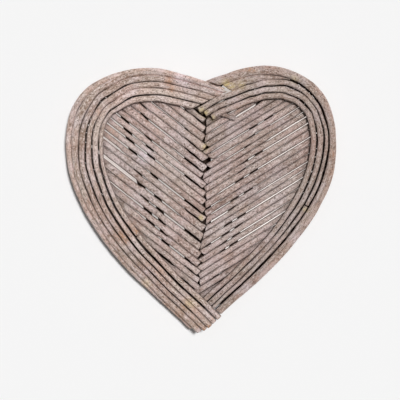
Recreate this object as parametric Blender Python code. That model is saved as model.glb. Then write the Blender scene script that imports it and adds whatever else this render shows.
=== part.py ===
"""Flat ornamental heart of grey willow rods, lying on its back.

Three layers, from the floor up: a spine and four ribs, a chevron field of straight rods with one
outermost rod along each side, and a border of bent rods on top. Metres, +Z up, +Y to the notch.
"""

import bmesh
import bpy
import numpy as np

MM = 0.001

# Overall size, seen from the front
WIDTH = 0.300
HEIGHT = 0.2965

# Thickness of the rods in each layer, and the clearance between the layers
BACK_ROD = 8.4 * MM
FIELD_ROD = 7.2 * MM
BORDER_ROD = 6.8 * MM
LAYER_GAP = 0.3 * MM

# Clearance between rods that lie side by side, and at a cut end that butts on another rod
SIDE_GAP = 0.55 * MM
END_GAP = 0.4 * MM

# The outermost rod of each side lies in the field's layer and closes the ends of the field rods
OUTER_ROD = 7.0 * MM
FIELD_INSET = OUTER_ROD + 0.9 * MM

# Outline as shares of the width and height from the centre of the heart. The left side starts past
# the notch, where its rods end on the right ones, and ends past the point, as a tail. The right
# side starts left of the notch, where its inner rods end, and ends on the tail.
LEFT_OUTLINE = [
    (0.079, 0.418),
    (0.015, 0.441),
    (-0.064, 0.466),
    (-0.153, 0.488),
    (-0.241, 0.488),
    (-0.330, 0.466),
    (-0.419, 0.418),
    (-0.474, 0.349),
    (-0.498, 0.257),
    (-0.499, 0.175),
    (-0.483, 0.078),
    (-0.452, -0.005),
    (-0.385, -0.124),
    (-0.293, -0.244),
    (-0.171, -0.364),
    (-0.048, -0.480),
    (-0.009, -0.520),
]
RIGHT_OUTLINE = [
    (-0.049, 0.407),
    (0.015, 0.441),
    (0.084, 0.466),
    (0.165, 0.491),
    (0.247, 0.499),
    (0.328, 0.483),
    (0.406, 0.442),
    (0.461, 0.379),
    (0.493, 0.287),
    (0.500, 0.197),
    (0.487, 0.085),
    (0.438, -0.032),
    (0.3555, -0.154),
    (0.244, -0.278),
    (0.175, -0.342),
    (0.118, -0.391),
    (0.055, -0.450),
]
NOTCH_POINT = 1

# Inner edge of each border rod, in millimetres in from the outline, outermost rod first, at
# stations that are shares of the way along the side. The rods swell and taper between them.
LEFT_STATIONS = [0.00, 0.21, 0.29, 0.365, 0.44, 0.53, 0.68, 0.79, 0.89, 1.00]
LEFT_EDGES = [
    (3.3, 6.7, 12.8, 19.2, 26.2, 34.5),
    (3.9, 9.0, 16.3, 23.2, 31.2, 38.3),
    (6.0, 13.6, 21.6, 29.2, 36.2, 41.5),
    (8.0, 17.3, 24.8, 31.4, 38.3, 43.0),
    (6.5, 15.0, 22.8, 29.6, 37.2, 42.0),
    (5.8, 13.0, 20.3, 28.0, 35.6, 41.0),
    (5.0, 11.3, 17.9, 24.9, 31.8, 38.4),
    (4.4, 11.2, 16.9, 23.6, 30.6, 37.5),
    (3.2, 9.2, 15.3, 21.7, 28.0, 35.0),
    (2.8, 9.2, 15.1, 21.6, 28.4, 35.5),
]
RIGHT_STATIONS = [0.00, 0.08, 0.15, 0.20, 0.27, 0.34, 0.40, 0.46, 0.57, 0.66, 0.78, 1.00]
RIGHT_EDGES = [
    (3.9, 10.5, 22.6, 29.4, 36.2, 43.3),
    (3.9, 10.5, 21.0, 27.6, 34.8, 42.0),
    (3.9, 10.9, 19.0, 26.2, 33.2, 40.2),
    (3.9, 10.9, 16.8, 24.0, 31.0, 37.9),
    (3.9, 10.4, 11.7, 18.6, 27.0, 33.8),
    (4.2, 11.4, 11.4, 17.2, 24.4, 31.2),
    (4.4, 10.2, 10.2, 15.6, 22.3, 29.4),
    (4.4, 8.8, 8.8, 14.0, 22.0, 29.2),
    (4.9, 11.4, 11.4, 17.2, 24.5, 31.7),
    (5.4, 11.5, 11.5, 17.1, 23.8, 30.7),
    (5.9, 11.6, 11.6, 17.1, 23.2, 29.4),
    (4.5, 9.3, 9.3, 14.4, 21.3, 27.7),
]
SIDE_STEPS = 32
LEAST_STEP = 0.3
CURVE_POINTS = 600

# Free ends of the border rods, as shares of the way along their side
LEFT_TAIL_ENDS = [0.973, 0.990, 0.996, 0.999, 0.999, 1.000]
LEFT_SIXTH_JOINT = 0.735
RIGHT_INNER_STARTS = {4: 0.000, 5: 0.008, 6: 0.018}
RIGHT_THIRD_START = 0.090
RIGHT_THIRD_END = 0.262
RIGHT_FOURTH_JOINT = 0.650
JOINT_GAP = 1.6 * MM
SPLIT_END_CUT = (0.75, 0.66)

# Stretches of a side that other rods stop at: the right fourth rod by the notch, the outer edge of
# the left side past the notch, and the inner edge of the left side by the tail
FOURTH_STRETCH = (0.0, 0.11)
NOTCH_STRETCH = (0.0, 0.045)
TAIL_STRETCH = (0.90, 1.0)

# Where a rod that stops there is sure to be whole, and how far along it could reach
LEFT_START_REACH = (0.14, 0.0)
RIGHT_START_REACH = (0.12, 0.03)
RIGHT_END_REACH = (0.90, 1.0)

# Seam of the chevron, as shares of the width and height, from the notch down
SEAM = [
    (0.017, 0.360),
    (0.011, 0.227),
    (0.010, -0.061),
    (0.005, -0.128),
    (-0.005, -0.188),
    (-0.012, -0.266),
    (-0.012, -0.400),
]

# Each half of the field: the point that its rods are measured from, their slope, how far above and
# below that point the single rods reach, and the widths that they come in, from the top. The short
# rods above and below are nailed side by side.
FIELD = {
    "left": {
        "point": (-0.171, 0.033),
        "slopes": (-37.7, -37.7),
        "reach": (0.329, 0.157),
        "widths": (
            *(6.7, 7.8, 8.3, 8.9, 8.9, 8.9, 7.2, 7.8, 6.7),
            *(7.8, 7.2, 7.8, 8.9, 9.4, 8.9, 8.3, 7.8, 7.2),
        ),
        "top_rods": 2,
        "bottom_rods": 2,
    },
    "right": {
        "point": (0.199, 0.033),
        "slopes": (30.9, 32.3),
        "reach": (0.297, 0.150),
        "widths": (
            *(7.2, 7.2, 6.7, 6.1, 7.8, 7.2, 6.1, 7.2, 6.7, 7.8),
            *(7.8, 7.2, 7.2, 6.1, 6.1, 7.8, 7.2, 6.7, 6.7),
        ),
        "top_rods": 3,
        "bottom_rods": 4,
    },
}
TOP_PITCH = 7.8 * MM
BOTTOM_PITCH = 6.65 * MM
FIELD_STEP = 0.25 * MM

# Spine and ribs, as shares of the width and height, top end first
SPINE = ((-0.022, 0.395), (-0.022, -0.395))
SPINE_RODS = 3
RIBS = {
    "rib_left_outer": ((-0.308, 0.395), (-0.153, -0.236)),
    "rib_left_inner": ((-0.232, 0.433), (-0.104, -0.341)),
    "rib_right_inner": ((0.225, 0.388), (0.044, -0.315)),
    "rib_right_outer": ((0.269, 0.369), (0.084, -0.304)),
}

# Half the width of a flat on a rod of eight sides, as a share of half its thickness
FLAT = np.tan(np.radians(22.5))

# Heights of the layers
BACK_LEVEL = BACK_ROD / 2
FIELD_LEVEL = BACK_ROD + LAYER_GAP + FIELD_ROD / 2
BORDER_LEVEL = BACK_ROD + FIELD_ROD + 2 * LAYER_GAP + BORDER_ROD / 2


def clear_scene():
    for thing in list(bpy.data.objects):
        bpy.data.objects.remove(thing, do_unlink=True)


def willow(name, colour, roughness):
    """Plain willow finish in one colour."""
    material = bpy.data.materials.new(name)
    material.use_nodes = True
    shader = material.node_tree.nodes["Principled BSDF"]
    shader.inputs["Base Color"].default_value = (*colour, 1.0)
    shader.inputs["Roughness"].default_value = roughness
    shader.inputs["Metallic"].default_value = 0.0
    return material


def placed(shares):
    """Points given as shares of the width and height, in metres."""
    return np.array(shares) * (WIDTH, HEIGHT)


def unit(vectors):
    return vectors / np.linalg.norm(vectors, axis=-1, keepdims=True)


def smooth_curve(points, count=CURVE_POINTS):
    """Cubic through the points, with the slope at each taken from its neighbours, evenly spaced."""
    knots = np.r_[0, np.cumsum(np.linalg.norm(np.diff(points, axis=0), axis=1))]
    slopes = np.gradient(points, knots, axis=0)
    at = np.linspace(0, knots[-1], count)
    k = np.clip(np.searchsorted(knots, at, side="right") - 1, 0, len(knots) - 2)
    step = (knots[k + 1] - knots[k])[:, None]
    u = (at - knots[k])[:, None] / step
    curve = (
        (2 * u**3 - 3 * u**2 + 1) * points[k]
        + (u**3 - 2 * u**2 + u) * step * slopes[k]
        + (3 * u**2 - 2 * u**3) * points[k + 1]
        + (u**3 - u**2) * step * slopes[k + 1]
    )
    length = np.r_[0, np.cumsum(np.linalg.norm(np.diff(curve, axis=0), axis=1))]
    even = np.linspace(0, length[-1], count)
    return np.stack([np.interp(even, length, curve[:, axis]) for axis in (0, 1)], 1)


def along(curve, shares):
    """Points, directions and left-hand normals of a curve at shares of its length."""
    at = np.atleast_1d(shares) * (len(curve) - 1)
    index = np.arange(len(curve))
    slopes = np.gradient(curve, axis=0)
    points = np.stack([np.interp(at, index, curve[:, axis]) for axis in (0, 1)], 1)
    heading = unit(np.stack([np.interp(at, index, slopes[:, axis]) for axis in (0, 1)], 1))
    return points, heading, np.stack([-heading[:, 1], heading[:, 0]], 1)


def smooth_steps(shares, stations, values):
    """Values at the stations, eased from each one to the next."""
    stations = np.array(stations)
    values = np.array(values)
    k = np.clip(np.searchsorted(stations, shares, side="right") - 1, 0, len(stations) - 2)
    u = np.clip((shares - stations[k]) / (stations[k + 1] - stations[k]), 0, 1)
    ease = u * u * (3 - 2 * u)
    return values[k] * (1 - ease) + values[k + 1] * ease


class Side:
    """One side of the border: its outline, and which way is inwards."""

    def __init__(self, outline, stations, edges, inward):
        self.curve = smooth_curve(placed(outline))
        self.length = np.linalg.norm(np.diff(self.curve, axis=0), axis=1).sum()
        self.stations = stations
        self.edges = np.array(edges) * MM
        self.inward = inward

    def lane(self, rod, shares):
        """Depth of the middle of a rod's lane below the outline, and half the rod's own width."""
        inner = smooth_steps(shares, self.stations, self.edges[:, rod - 1])
        if rod == 1:
            return np.full(len(inner), OUTER_ROD / 2), np.full(len(inner), OUTER_ROD / 2)
        outer = smooth_steps(shares, self.stations, self.edges[:, rod - 2])
        return (outer + inner) / 2, (inner - outer - SIDE_GAP) / 2

    def centre(self, rod, shares):
        points, heading, normal = along(self.curve, shares)
        depth, half = self.lane(rod, shares)
        return points + normal * self.inward * depth[:, None], half

    def edge_line(self, rod, shares, outer):
        """Straight line that clears one edge of a rod: a point, and the direction away from the rod.

        Rod 0 stands for the outline itself.
        """
        shares = np.linspace(*shares, SIDE_STEPS)
        points, heading, normal = along(self.curve, shares)
        away = normal * self.inward * (-1 if outer else 1)
        if rod:
            points, half = self.centre(rod, shares)
            points = points + away * half[:, None]
        run = unit(points[-1] - points[0])
        across = np.array([-run[1], run[0]])
        across *= np.sign(across @ away.mean(0))
        beyond = (points - points[0]) @ across
        return points[np.argmax(beyond)], across


def rod_profile(count):
    """Section of rods side by side, eight sides each, in half-widths and half-heights."""
    middles = np.arange(count) * 2 - (count - 1)
    top = [(-count, FLAT)]
    bottom = [(count, -FLAT)]
    for middle in middles:
        top += [(middle - FLAT, 1), (middle + FLAT, 1), (middle + 1, FLAT)]
    for middle in middles[::-1]:
        bottom += [(middle + FLAT, -1), (middle - FLAT, -1), (middle - 1, -FLAT)]
    return np.array(top + bottom)


def rod_mesh(name, centre, half_width, half_height, level, cuts, count=1):
    """Sweep the section along the middle line, and turn each end ring parallel to its cut.

    A cut is the normal of the plane that an end is cut by. Each corner of the end ring slides along
    the rod until it is in that plane.
    """
    heading = unit(np.gradient(centre, axis=0))
    side = np.stack([-heading[:, 1], heading[:, 0]], 1)
    section = rod_profile(count)
    across = section[:, 0] * half_width[:, None]
    slide = np.zeros_like(across)
    for end, cut in zip((0, -1), cuts):
        if cut is not None:
            slide[end] = -across[end] * (side[end] @ cut) / (heading[end] @ cut)
    flat = centre[:, None] + across[..., None] * side[:, None] + slide[..., None] * heading[:, None]
    rings = np.dstack([flat, np.broadcast_to(level + section[:, 1] * half_height, flat.shape[:2])])
    return ring_mesh(name, rings)


def ring_mesh(name, rings):
    """Closed mesh through a stack of rings, with a face over each end."""
    steps, corners = rings.shape[:2]
    first = np.arange((steps - 1) * corners).reshape(steps - 1, corners)
    turned = np.roll(first, -1, axis=1)
    walls = np.stack([first, turned, turned + corners, first + corners], 2).reshape(-1, 4).tolist()
    caps = [list(range(corners))[::-1], list(range((steps - 1) * corners, steps * corners))]
    mesh = bpy.data.meshes.new(name)
    mesh.from_pydata(rings.reshape(-1, 3).tolist(), [], walls + caps)
    work = bmesh.new()
    work.from_mesh(mesh)
    bmesh.ops.recalc_face_normals(work, faces=work.faces)
    work.to_mesh(mesh)
    work.free()
    return mesh


def add_piece(name, mesh, material):
    piece = bpy.data.objects.new(name, mesh)
    mesh.materials.append(material)
    bpy.context.scene.collection.objects.link(piece)
    return piece


def stop_at(side, rod, line, reach):
    """Share of the way along a side where a rod, followed from a place that it keeps, meets a line."""
    shares = np.linspace(*reach, CURVE_POINTS)
    ahead = (side.centre(rod, shares)[0] - line[0]) @ line[1]
    return float(shares[np.argmin(np.abs(ahead - END_GAP))])


def border_rod(name, side, rod, start, end, material, cuts=(None, None), level=BORDER_LEVEL):
    """One border rod from start to end, as shares of the way along its side."""
    steps = np.linspace(0, 1, SIDE_STEPS + 1)
    spacing = steps[1] * LEAST_STEP
    inner = steps[(steps > start + spacing) & (steps < end - spacing)]
    shares = np.r_[start, inner, end]
    centre, half = side.centre(rod, shares)
    thickness = OUTER_ROD if rod == 1 else BORDER_ROD
    mesh = rod_mesh(name, centre, half, thickness / 2, level, cuts)
    return add_piece(name, mesh, material)


def border(left, right, material):
    """Six rods to a side. The left ones pass the notch and the point, and stop the right ones."""
    fourth_edge = right.edge_line(4, FOURTH_STRETCH, outer=True)
    notch_edge = left.edge_line(0, NOTCH_STRETCH, outer=True)
    sixth_edge = left.edge_line(6, TAIL_STRETCH, outer=False)
    left_cuts = (fourth_edge[1], None)
    starts = [stop_at(left, rod, fourth_edge, LEFT_START_REACH) for rod in range(1, 7)]
    ends = LEFT_TAIL_ENDS
    border_rod("border_left_1", left, 1, starts[0], ends[0], material, left_cuts, FIELD_LEVEL)
    for rod in range(2, 6):
        border_rod(f"border_left_{rod}", left, rod, starts[rod - 1], ends[rod - 1], material, left_cuts)
    gap = JOINT_GAP / 2 / left.length
    border_rod("border_left_6_upper", left, 6, starts[5], LEFT_SIXTH_JOINT - gap, material, left_cuts)
    border_rod("border_left_6_lower", left, 6, LEFT_SIXTH_JOINT + gap, ends[5], material)
    for rod, level in ((1, FIELD_LEVEL), (2, BORDER_LEVEL)):
        start = stop_at(right, rod, notch_edge, RIGHT_START_REACH)
        end = stop_at(right, rod, sixth_edge, RIGHT_END_REACH)
        cuts = (notch_edge[1], sixth_edge[1])
        border_rod(f"border_right_{rod}", right, rod, start, end, material, cuts, level)
    split = (RIGHT_THIRD_START, RIGHT_THIRD_END)
    border_rod("border_right_3_short", right, 3, *split, material, (np.array(SPLIT_END_CUT), None))
    gap = JOINT_GAP / 2 / right.length
    for rod, start in RIGHT_INNER_STARTS.items():
        title = f"border_right_{rod}"
        end = stop_at(right, rod, sixth_edge, RIGHT_END_REACH)
        if rod == 4:
            border_rod(title + "_upper", right, rod, start, RIGHT_FOURTH_JOINT - gap, material)
            title += "_lower"
            start = RIGHT_FOURTH_JOINT + gap
        border_rod(title, right, rod, start, end, material, (None, sixth_edge[1]))


def distance_to(curve, points):
    """Distance of each point from the nearest point of a curve."""
    return np.linalg.norm(points[:, None] - curve[None], axis=2).min(1)


def field_rod(name, middle, heading, half, outlines, seam, away, material, count=1):
    """Straight rod, or rods side by side, from the seam out to just inside the outermost rod.

    The inner end is cut along the seam. The outer end is cut along the line between the places
    where the two edges of the rod, or of the strip of rods, come to the outermost rod.
    """
    reach = np.arange(-WIDTH, WIDTH, FIELD_STEP)
    axis = middle + reach[:, None] * heading
    end_height = half * count / heading[0]
    heights = axis[:, 1, None] + np.linspace(-end_height, end_height, SIDE_STEPS)
    seam_x = np.interp(-heights, -seam[:, 1], seam[:, 0])
    past_seam = ((axis[:, 0, None] - seam_x) * away).min(1)
    inner = reach[np.argmin(np.abs(past_seam - END_GAP))]
    side = np.array([-heading[1], heading[0]])
    outward = np.arange(FIELD_INSET * 2, WIDTH, FIELD_STEP)
    lengths = []
    for edge in (-1, 0, 1):
        line = middle + (inner + away * outward)[:, None] * heading + side * edge * half * count
        depth = np.min([distance_to(outline, line) for outline in outlines], axis=0)
        lengths.append(outward[np.argmax(depth < FIELD_INSET)])
    length = min(lengths[1], (lengths[0] + lengths[2]) / 2)
    end_run = side * 2 * half * count + heading * away * (lengths[2] - lengths[0])
    end_cut = np.array([-end_run[1], end_run[0]])
    ends = np.array([inner, inner + away * length])
    centre = middle + ends[:, None] * heading
    widths = np.array([half, half])
    seam_normal = np.array([1.0, 0.0])
    mesh = rod_mesh(name, centre, widths, FIELD_ROD / 2, FIELD_LEVEL, (seam_normal, end_cut), count)
    return add_piece(name, mesh, material)


def field(name, plan, away, outlines, seam, material):
    """One half of the chevron: single rods laid one below the other, and the short ones joined."""
    point = placed(plan["point"])
    above, below = (share * HEIGHT for share in plan["reach"])
    wanted = above + below
    widths = np.array(plan["widths"]) * MM
    count = round(wanted / widths.mean())
    widths = np.resize(widths, count)
    widths *= wanted / widths.sum()
    edges = np.r_[0, np.cumsum(widths)]
    slopes = np.linspace(*plan["slopes"], count)
    rods = [(f"field_{name}_{k + 1:02d}", edges[k], widths[k], 1, slopes[k]) for k in range(count)]
    top = plan["top_rods"]
    rods.append((f"field_{name}_top", -top * TOP_PITCH, TOP_PITCH, top, slopes[0]))
    bottom = plan["bottom_rods"]
    rods.append((f"field_{name}_bottom", wanted, BOTTOM_PITCH, bottom, slopes[-1]))
    for title, edge, width, together, slope in rods:
        angle = np.radians(slope)
        heading = np.array([np.cos(angle), np.sin(angle)])
        upward = np.array([-heading[1], heading[0]])
        middle = point + upward * (above - edge - width * together / 2)
        half = (width - SIDE_GAP / together) / 2
        field_rod(title, middle, heading, half, outlines, seam, away, material, together)


def straight_rod(name, ends, count, material):
    """Straight rod of the back, or rods side by side, lying on the floor."""
    half = np.full(2, BACK_ROD / 2)
    mesh = rod_mesh(name, placed(ends), half, BACK_ROD / 2, BACK_LEVEL, (None, None), count)
    return add_piece(name, mesh, material)


def main():
    clear_scene()
    border_finish = willow("border_willow", (0.36, 0.27, 0.23), 0.75)
    field_finish = willow("field_willow", (0.38, 0.29, 0.25), 0.75)
    back_finish = willow("back_willow", (0.28, 0.21, 0.17), 0.8)
    left = Side(LEFT_OUTLINE, LEFT_STATIONS, LEFT_EDGES, inward=1)
    right = Side(RIGHT_OUTLINE, RIGHT_STATIONS, RIGHT_EDGES, inward=-1)
    border(left, right, border_finish)
    notch = placed(RIGHT_OUTLINE[NOTCH_POINT])
    from_notch = np.argmin(np.linalg.norm(right.curve - notch, axis=1))
    outlines = [left.curve, right.curve[from_notch:]]
    seam = placed(SEAM)
    field("left", FIELD["left"], -1, outlines, seam, field_finish)
    field("right", FIELD["right"], 1, outlines, seam, field_finish)
    straight_rod("spine", SPINE, SPINE_RODS, back_finish)
    for name, ends in RIBS.items():
        straight_rod(name, ends, 1, back_finish)


main()
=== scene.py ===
"""Looks of the flat heart of grey willow rods, lying on a pale floor and seen from straight above.

Every rod is a closed surface: a ring round its middle line, carried along that line, with bark
relief, buds and sawn ends. Metres, +Z up, +Y to the notch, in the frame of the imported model.
"""

import bpy
import numpy as np
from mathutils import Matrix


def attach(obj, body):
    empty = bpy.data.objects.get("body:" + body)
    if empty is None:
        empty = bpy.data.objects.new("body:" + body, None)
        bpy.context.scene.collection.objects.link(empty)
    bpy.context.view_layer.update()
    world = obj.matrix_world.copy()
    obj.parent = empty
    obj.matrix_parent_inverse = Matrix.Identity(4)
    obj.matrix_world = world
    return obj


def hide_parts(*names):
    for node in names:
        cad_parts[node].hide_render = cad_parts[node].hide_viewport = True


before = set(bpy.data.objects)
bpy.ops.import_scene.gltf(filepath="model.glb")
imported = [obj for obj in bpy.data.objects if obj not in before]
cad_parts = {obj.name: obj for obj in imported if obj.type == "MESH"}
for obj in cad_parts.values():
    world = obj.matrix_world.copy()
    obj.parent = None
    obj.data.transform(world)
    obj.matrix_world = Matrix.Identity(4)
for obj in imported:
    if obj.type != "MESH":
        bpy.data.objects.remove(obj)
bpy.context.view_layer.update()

MM = 0.001

# Sizes of the heart and its rods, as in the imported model
WIDTH = 0.300
HEIGHT = 0.2965
BACK_ROD = 8.4 * MM
FIELD_ROD = 7.2 * MM
BORDER_ROD = 6.8 * MM
LAYER_GAP = 0.3 * MM
END_GAP = 0.15 * MM
OUTER_ROD = 7.0 * MM
FIELD_END_GAP = 0.9 * MM
FIELD_INSET = OUTER_ROD + FIELD_END_GAP
BACK_LEVEL = BACK_ROD / 2
FIELD_LEVEL = BACK_ROD + LAYER_GAP + FIELD_ROD / 2
BORDER_LEVEL = BACK_ROD + FIELD_ROD + 2 * LAYER_GAP + BORDER_ROD / 2

# Outline of each side, as shares of the width and height from the centre
LEFT_OUTLINE = [
    (0.079, 0.418),
    (0.015, 0.441),
    (-0.064, 0.466),
    (-0.153, 0.488),
    (-0.241, 0.488),
    (-0.330, 0.466),
    (-0.419, 0.418),
    (-0.474, 0.349),
    (-0.498, 0.257),
    (-0.499, 0.175),
    (-0.483, 0.078),
    (-0.452, -0.005),
    (-0.385, -0.124),
    (-0.293, -0.244),
    (-0.171, -0.364),
    (-0.048, -0.480),
    (-0.009, -0.520),
]
RIGHT_OUTLINE = [
    (-0.049, 0.407),
    (0.015, 0.441),
    (0.084, 0.466),
    (0.165, 0.491),
    (0.247, 0.499),
    (0.328, 0.483),
    (0.406, 0.442),
    (0.461, 0.379),
    (0.493, 0.287),
    (0.500, 0.197),
    (0.487, 0.085),
    (0.438, -0.032),
    (0.3555, -0.154),
    (0.244, -0.278),
    (0.175, -0.342),
    (0.118, -0.391),
    (0.055, -0.450),
]
NOTCH_POINT = 1

# Points of a side's curve, and of the line along the left outermost rod that stops the last right
# rods. Depths below a curve are measured from one point in so many.
CURVE_POINTS = 600
INSET_POINTS = 300
DEPTH_THINNING = 3

# Inner edge of each border rod and the gap beyond it, in millimetres, at shares of the way along.
# The last gap is that between the innermost rod and the field below it.
LEFT_STATIONS = [0.00, 0.21, 0.29, 0.365, 0.44, 0.53, 0.68, 0.79, 0.89, 1.00]
LEFT_EDGES = [
    (3.3, 6.7, 12.8, 19.2, 26.2, 34.5),
    (3.9, 9.0, 16.3, 23.2, 31.2, 38.3),
    (6.0, 13.6, 21.6, 29.2, 36.2, 41.5),
    (8.0, 17.3, 24.8, 31.4, 38.3, 43.0),
    (6.5, 15.0, 22.8, 29.6, 37.2, 42.0),
    (5.8, 13.0, 20.3, 28.0, 35.6, 41.0),
    (5.0, 11.3, 17.9, 24.9, 31.8, 38.4),
    (4.4, 11.2, 16.9, 23.6, 30.6, 37.5),
    (3.2, 9.2, 15.3, 21.7, 28.0, 35.0),
    (2.8, 9.2, 15.1, 21.6, 28.4, 35.5),
]
LEFT_GAPS = [
    (0.03, 0.03, 0.15, 0.15, 0.20, 0.20),
    (0.03, 0.03, 0.20, 0.12, 0.66, 0.15),
    (0.03, 0.15, 1.27, 0.12, 0.73, 0.30),
    (0.03, 0.20, 0.20, 0.15, 0.25, 0.20),
    (0.03, 0.25, 1.27, 0.66, 0.20, 0.20),
    (0.05, 0.25, 0.73, 1.27, 1.54, 0.30),
    (0.05, 0.25, 0.25, 1.40, 1.27, 0.30),
    (0.05, 0.25, 0.30, 0.86, 1.54, 0.30),
    (0.05, 0.25, 0.66, 0.20, 1.54, 0.30),
    (0.05, 0.25, 0.20, 0.20, 0.59, 0.30),
]
RIGHT_STATIONS = [0.00, 0.08, 0.15, 0.20, 0.27, 0.34, 0.40, 0.46, 0.57, 0.66, 0.78, 1.00]
RIGHT_EDGES = [
    (3.9, 10.5, 22.6, 29.4, 36.2, 43.3),
    (3.9, 10.5, 21.0, 27.6, 34.8, 42.0),
    (3.9, 10.9, 19.0, 26.2, 33.2, 40.2),
    (3.9, 10.9, 16.8, 24.0, 31.0, 37.9),
    (3.9, 10.4, 11.7, 18.6, 27.0, 33.8),
    (4.2, 11.4, 11.4, 17.2, 24.4, 31.2),
    (4.4, 10.2, 10.2, 15.6, 22.3, 29.4),
    (4.4, 8.8, 8.8, 14.0, 22.0, 29.2),
    (4.9, 11.4, 11.4, 17.2, 24.5, 31.7),
    (5.4, 11.5, 11.5, 17.1, 23.8, 30.7),
    (5.9, 11.6, 11.6, 17.1, 23.2, 29.4),
    (4.5, 9.3, 9.3, 14.4, 21.3, 27.7),
]
RIGHT_GAPS = [
    (0.10, 0.03, 0.25, 0.20, 0.25, 0.20),
    (0.10, 0.03, 0.05, 0.66, 0.30, 0.20),
    (0.10, 0.03, 0.15, 0.66, 0.66, 0.20),
    (0.10, 0.15, 0.08, 0.73, 0.30, 0.20),
    (0.10, 0.25, 0.35, 0.90, 0.35, 0.25),
    (0.10, 1.67, 1.67, 0.25, 1.54, 0.30),
    (0.10, 1.54, 1.54, 0.25, 0.30, 0.30),
    (0.10, 1.13, 1.13, 1.27, 0.86, 0.30),
    (0.10, 1.67, 1.67, 0.99, 0.99, 0.30),
    (0.10, 0.99, 0.99, 1.13, 0.86, 0.30),
    (0.10, 1.54, 1.54, 0.20, 0.20, 0.30),
    (0.10, 1.40, 1.40, 0.30, 0.66, 0.30),
]

# Free ends and joints of the border rods, as shares of the way along their side. A stretch is
# where a straight line is laid along a rod's edge. A reach is where a rod is looked for that meets
# such a line, walked from a place that the rod keeps.
LEFT_TAIL_ENDS = [0.973, 0.990, 0.996, 0.999, 0.999, 1.000]
LEFT_SIXTH_JOINT = 0.735
RIGHT_INNER_STARTS = {4: 0.000, 5: 0.008, 6: 0.018}
RIGHT_THIRD_START = 0.090
RIGHT_THIRD_END = 0.262
RIGHT_FOURTH_JOINT = 0.650
JOINT_GAP = 1.6 * MM
FOURTH_STRETCH = (0.0, 0.11)
NOTCH_STRETCH = (0.0, 0.045)
TAIL_STRETCH = (0.90, 1.0)
STRETCH_POINTS = 30
LEFT_START_REACH = (0.14, -0.02)
RIGHT_START_REACH = (0.12, 0.03)
RIGHT_END_REACH = (0.90, 1.0)

# Direction that the cut of the split end faces, and how far the outermost rods are lifted, more
# where they show a wider strip
SPLIT_END_CUT = (0.57, 0.82)
OUTER_LIFT = (1.0 * MM, 3.0 * MM)
OUTER_STRIP = (3.5 * MM, 5.5 * MM)

# Seam of the chevron, as shares of the width and height, from the notch down
SEAM = [
    (0.017, 0.360),
    (0.011, 0.227),
    (0.010, -0.061),
    (0.005, -0.128),
    (-0.005, -0.188),
    (-0.012, -0.266),
    (-0.012, -0.400),
]

# Each half of the field: the point that it is measured from, its slopes, the reach of its single
# rods above and below that point, their widths from the top, and the short rods beyond them.
# Openings are gaps between two rods that stand open: number of the upper rod, from, to and width
# in millimetres, the first two across the heart from its middle. The opening share narrows them.
FIELD = {
    "left": {
        "point": (-0.171, 0.033),
        "slopes": (-37.7, -37.7),
        "reach": (0.329, 0.157),
        "widths": (
            *(6.7, 7.8, 8.3, 8.9, 8.9, 8.9, 7.2, 7.8, 6.7),
            *(7.8, 7.2, 7.8, 8.9, 9.4, 8.9, 8.3, 7.8, 7.2),
        ),
        "top_rods": 2,
        "bottom_rods": 2,
        "opening_share": 1.0,
        "openings": (
            *((0, -8, 0, 0.9), (1, -28, -16, 0.8), (1, -8, 6, 1.0), (3, -57, -12, 0.5)),
            *((4, -69, -61, 0.9), (4, -16, -4, 0.9), (5, -67, -28, 1.3), (5, -16, -1, 1.2)),
            *((6, -29, -1, 1.1), (7, -96, -67, 1.2), (7, -63, -24, 1.0), (8, -99, -72, 1.6)),
            *((8, -65, -51, 1.1), (8, -37, 0, 1.0), (9, -131, -41, 1.3), (10, -131, -62, 1.3)),
            *((11, -128, -87, 1.9), (11, -58, 0, 1.4), (12, -73, -62, 0.9), (12, -19, -1, 1.0)),
            *((13, -125, -68, 3.0), (13, -66, -26, 1.3), (14, -66, -53, 1.0), (14, -51, 0, 1.6)),
            *((15, -100, -80, 1.3), (15, -79, -41, 1.5), (16, -70, -40, 1.3), (17, -46, -10, 1.4)),
            *((18, -16, -7, 1.0), (19, -66, -32, 1.7), (20, -22, -11, 1.3)),
        ),
    },
    "right": {
        "point": (0.199, 0.033),
        "slopes": (30.9, 32.3),
        "reach": (0.297, 0.150),
        "widths": (
            *(7.2, 7.2, 6.7, 6.1, 7.8, 7.2, 6.1, 7.2, 6.7, 7.8),
            *(7.8, 7.2, 7.2, 6.1, 6.1, 7.8, 7.2, 6.7, 6.7),
        ),
        "top_rods": 3,
        "bottom_rods": 4,
        "opening_share": 0.68,
        "openings": (
            *((0, 34, 45, 2.6), (1, 13, 24, 0.9), (1, 37, 66, 2.2), (4, 13, 82, 1.1)),
            *((5, 19, 40, 1.0), (5, 54, 65, 0.9), (5, 77, 106, 1.2), (6, 28, 53, 1.0)),
            *((6, 107, 113, 1.1), (7, 75, 141, 1.7), (8, 46, 142, 1.4), (9, 43, 50, 0.9)),
            *((10, 20, 143, 1.3), (11, 2, 21, 1.0), (12, 13, 60, 1.1), (13, 8, 37, 1.6)),
            *((13, 62, 139, 1.0), (14, 98, 115, 1.0), (15, 24, 136, 1.4), (16, 6, 46, 1.2)),
            *((17, 22, 90, 1.2), (18, 21, 98, 1.5), (19, 79, 87, 1.0), (21, 12, 25, 1.1)),
        ),
    },
}
TOP_PITCH = 7.8 * MM
BOTTOM_PITCH = 6.65 * MM

# Spine and ribs of the back, as shares of the width and height, top end first
SPINE = ((-0.022, 0.395), (-0.022, -0.395))
SPINE_RODS = 3
BACK_POINTS = 200
RIBS = {
    "rib_left_outer": ((-0.308, 0.395), (-0.153, -0.236)),
    "rib_left_inner": ((-0.232, 0.433), (-0.104, -0.341)),
    "rib_right_inner": ((0.225, 0.388), (0.044, -0.315)),
    "rib_right_outer": ((0.269, 0.369), (0.084, -0.304)),
}

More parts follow.
